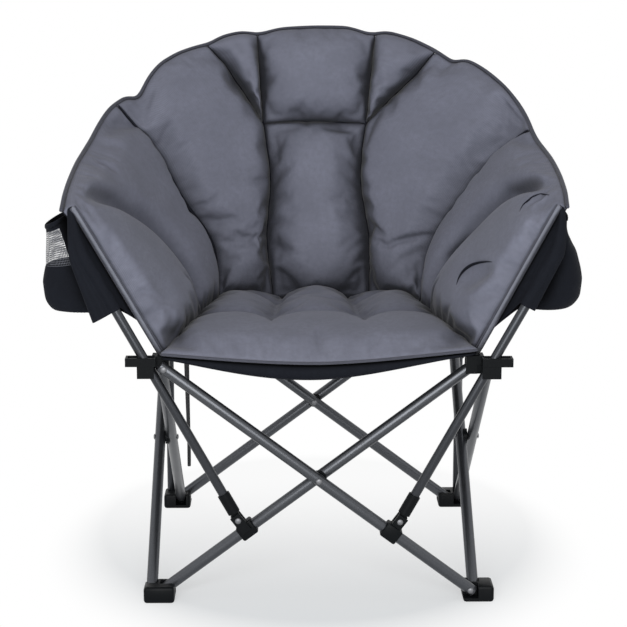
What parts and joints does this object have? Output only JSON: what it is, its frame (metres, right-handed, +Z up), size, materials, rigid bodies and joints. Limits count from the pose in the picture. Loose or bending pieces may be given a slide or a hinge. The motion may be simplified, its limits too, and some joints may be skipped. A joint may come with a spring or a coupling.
{
  "type": "folding camping chair",
  "caption": "Padded saucer camping chair on a folding steel scissor frame, with sliding front poles, a cup pouch and a storage pouch.",
  "frame": {"origin": "on the ground under the middle of the chair's box", "axes": "+Z up, front of the chair towards -Y, sitter's right arm at -X"},
  "size_m": [0.888, 0.6507, 0.9183],
  "materials": {
    "frame_tube": "satin gunmetal powder coat",
    "rivet": "plated steel",
    "moulded_plastic": "black moulded nylon",
    "grey_fabric": "slate grey woven polyester, stuffed",
    "black_fabric": "black woven polyester",
    "black_webbing": "black webbing"
  },
  "bodies": {
    "rear_left_corner": {"rear_left_foot": "moulded_plastic", "rear_left_foot_rivet": "rivet", "rear_left_pole": "frame_tube", "rear_left_pole_pocket": "black_fabric", "back_centre_pad": "grey_fabric", "back_left_pad": "grey_fabric", "left_wing_pad": "grey_fabric"},
    "rear_right_corner": {"rear_right_foot": "moulded_plastic", "rear_right_foot_rivet": "rivet", "rear_right_pole": "frame_tube", "rear_right_pole_pocket": "black_fabric", "back_right_pad": "grey_fabric", "right_wing_pad": "grey_fabric"},
    "front_left_foot_body": {"front_left_foot": "moulded_plastic", "front_left_foot_rivet": "rivet"},
    "front_right_foot_body": {"front_right_foot": "moulded_plastic", "front_right_foot_rivet": "rivet"},
    "front_inner_bar": {"front_inner_cross_tube": "frame_tube", "front_crossing_rivet": "rivet", "front_crossing_spacer": "moulded_plastic", "front_left_pole_clamp": "moulded_plastic"},
    "front_outer_bar": {"front_outer_cross_tube": "frame_tube", "front_right_pole_clamp": "moulded_plastic"},
    "right_inner_bar": {"right_inner_cross_tube": "frame_tube", "right_crossing_rivet": "rivet", "right_crossing_spacer": "moulded_plastic"},
    "right_outer_bar": {"right_outer_cross_tube": "frame_tube"},
    "rear_inner_bar": {"rear_inner_cross_tube": "frame_tube", "rear_crossing_rivet": "rivet", "rear_crossing_spacer": "moulded_plastic"},
    "rear_outer_bar": {"rear_outer_cross_tube": "frame_tube"},
    "left_inner_bar": {"left_inner_cross_tube": "frame_tube", "left_crossing_rivet": "rivet", "left_crossing_spacer": "moulded_plastic"},
    "left_outer_bar": {"left_outer_cross_tube": "frame_tube"},
    "front_left_hub_body": {"front_left_hub": "moulded_plastic", "front_left_hub_rivet": "rivet", "front_left_seat_tab": "black_webbing"},
    "front_right_hub_body": {"front_right_hub": "moulded_plastic", "front_right_hub_rivet": "rivet", "front_right_seat_tab": "black_webbing"},
    "rear_right_hub_body": {"rear_right_hub": "moulded_plastic", "rear_right_hub_rivet": "rivet"},
    "rear_left_hub_body": {"rear_left_hub": "moulded_plastic", "rear_left_hub_rivet": "rivet", "rear_left_strap_loop": "black_webbing"},
    "front_left_pole_body": {"front_left_pole": "frame_tube", "front_left_pole_ferrule": "moulded_plastic", "front_left_clamp_pin": "rivet", "front_left_pole_sleeve": "black_fabric", "left_cup_pouch": "black_fabric"},
    "front_right_pole_body": {"front_right_pole": "frame_tube", "front_right_pole_ferrule": "moulded_plastic", "front_right_clamp_pin": "rivet", "front_right_pole_sleeve": "black_fabric", "right_storage_pouch": "black_fabric"},
    "seat": {"seat_pad": "grey_fabric", "seat_underlay": "black_fabric"}
  },
  "joints": [
    {"name": "fold", "type": "hinge", "parent": "rear_left_corner", "child": "rear_outer_bar", "pos_m": [-0.252, 0.2496, 0.02], "axis": [0, -1, 0], "range_deg": [0, 40], "deforming": ["back_centre_pad", "back_left_pad", "back_right_pad", "left_wing_pad", "right_wing_pad", "seat_pad", "seat_underlay", "left_cup_pouch", "right_storage_pouch", "front_left_pole_sleeve", "front_right_pole_sleeve"]},
    {"name": "rear_crossing", "type": "hinge", "parent": "rear_outer_bar", "child": "rear_inner_bar", "pos_m": [0, 0.229, 0.209], "axis": [0, 1, 0], "range_deg": [0, 80]},
    {"name": "rear_right_foot_pivot", "type": "hinge", "parent": "rear_inner_bar", "child": "rear_right_corner", "pos_m": [0.252, 0.229, 0.02], "axis": [0, -1, 0], "range_deg": [0, 40]},
    {"name": "rear_left_hub_pivot", "type": "hinge", "parent": "rear_inner_bar", "child": "rear_left_hub_body", "pos_m": [-0.252, 0.229, 0.398], "axis": [0, -1, 0], "range_deg": [0, 40]},
    {"name": "rear_right_hub_pivot", "type": "hinge", "parent": "rear_outer_bar", "child": "rear_right_hub_body", "pos_m": [0.252, 0.2496, 0.398], "axis": [0, 1, 0], "range_deg": [0, 40]},
    {"name": "rear_left_foot_pivot", "type": "hinge", "parent": "rear_left_corner", "child": "left_inner_bar", "pos_m": [-0.2585, 0.2225, 0.02], "axis": [-1, 0, 0], "range_deg": [0, 40]},
    {"name": "left_crossing", "type": "hinge", "parent": "left_inner_bar", "child": "left_outer_bar", "pos_m": [-0.2585, -0.0295, 0.209], "axis": [1, 0, 0], "range_deg": [0, 80]},
    {"name": "front_left_foot_pivot", "type": "hinge", "parent": "left_outer_bar", "child": "front_left_foot_body", "pos_m": [-0.2791, -0.2815, 0.02], "axis": [-1, 0, 0], "range_deg": [0, 40]},
    {"name": "front_left_hub_pivot", "type": "hinge", "parent": "left_inner_bar", "child": "front_left_hub_body", "pos_m": [-0.2585, -0.2815, 0.398], "axis": [1, 0, 0], "range_deg": [0, 40]},
    {"name": "front_left_tube_pivot", "type": "hinge", "parent": "front_left_foot_body", "child": "front_inner_bar", "pos_m": [-0.252, -0.288, 0.02], "axis": [0, -1, 0], "range_deg": [0, 40]},
    {"name": "front_crossing", "type": "hinge", "parent": "front_inner_bar", "child": "front_outer_bar", "pos_m": [0, -0.288, 0.209], "axis": [0, 1, 0], "range_deg": [0, 80]},
    {"name": "front_right_foot_pivot", "type": "hinge", "parent": "front_outer_bar", "child": "front_right_foot_body", "pos_m": [0.252, -0.3086, 0.02], "axis": [0, -1, 0], "range_deg": [0, 40]},
    {"name": "front_right_hub_pivot", "type": "hinge", "parent": "front_inner_bar", "child": "front_right_hub_body", "pos_m": [0.252, -0.288, 0.398], "axis": [0, 1, 0], "range_deg": [0, 40]},
    {"name": "right_tube_pivot", "type": "hinge", "parent": "rear_right_corner", "child": "right_outer_bar", "pos_m": [0.2791, 0.2225, 0.02], "axis": [-1, 0, 0], "range_deg": [0, 40]},
    {"name": "right_crossing", "type": "hinge", "parent": "right_outer_bar", "child": "right_inner_bar", "pos_m": [0.2585, -0.0295, 0.209], "axis": [1, 0, 0], "range_deg": [0, 80]},
    {"name": "front_left_pole_pivot", "type": "hinge", "parent": "front_inner_bar", "child": "front_left_pole_body", "pos_m": [-0.1336, -0.288, 0.1388], "axis": [0, 1, 0], "range_deg": [0, 64]},
    {"name": "front_right_pole_pivot", "type": "hinge", "parent": "front_outer_bar", "child": "front_right_pole_body", "pos_m": [0.1336, -0.3086, 0.1388], "axis": [0, -1, 0], "range_deg": [0, 64]},
    {"name": "seat_hang", "type": "hinge", "parent": "rear_left_hub_body", "child": "seat", "pos_m": [0, 0.20259, 0.432], "axis": [1, 0, 0], "range_deg": [0, 80]}
  ],
  "couplings": [
    {"joint": "rear_crossing", "follows": "fold", "ratio": 2},
    {"joint": "rear_right_foot_pivot", "follows": "fold", "ratio": 1},
    {"joint": "rear_left_hub_pivot", "follows": "fold", "ratio": 1},
    {"joint": "rear_right_hub_pivot", "follows": "fold", "ratio": 1},
    {"joint": "rear_left_foot_pivot", "follows": "fold", "ratio": 1},
    {"joint": "left_crossing", "follows": "fold", "ratio": 2},
    {"joint": "front_left_foot_pivot", "follows": "fold", "ratio": 1},
    {"joint": "front_left_hub_pivot", "follows": "fold", "ratio": 1},
    {"joint": "front_left_tube_pivot", "follows": "fold", "ratio": 1},
    {"joint": "front_crossing", "follows": "fold", "ratio": 2},
    {"joint": "front_right_foot_pivot", "follows": "fold", "ratio": 1},
    {"joint": "front_right_hub_pivot", "follows": "fold", "ratio": 1},
    {"joint": "right_tube_pivot", "follows": "fold", "ratio": 1},
    {"joint": "right_crossing", "follows": "fold", "ratio": 2},
    {"joint": "front_left_pole_pivot", "follows": "fold", "ratio": 1.6},
    {"joint": "front_right_pole_pivot", "follows": "fold", "ratio": 1.6},
    {"joint": "seat_hang", "follows": "fold", "ratio": 2}
  ]
}
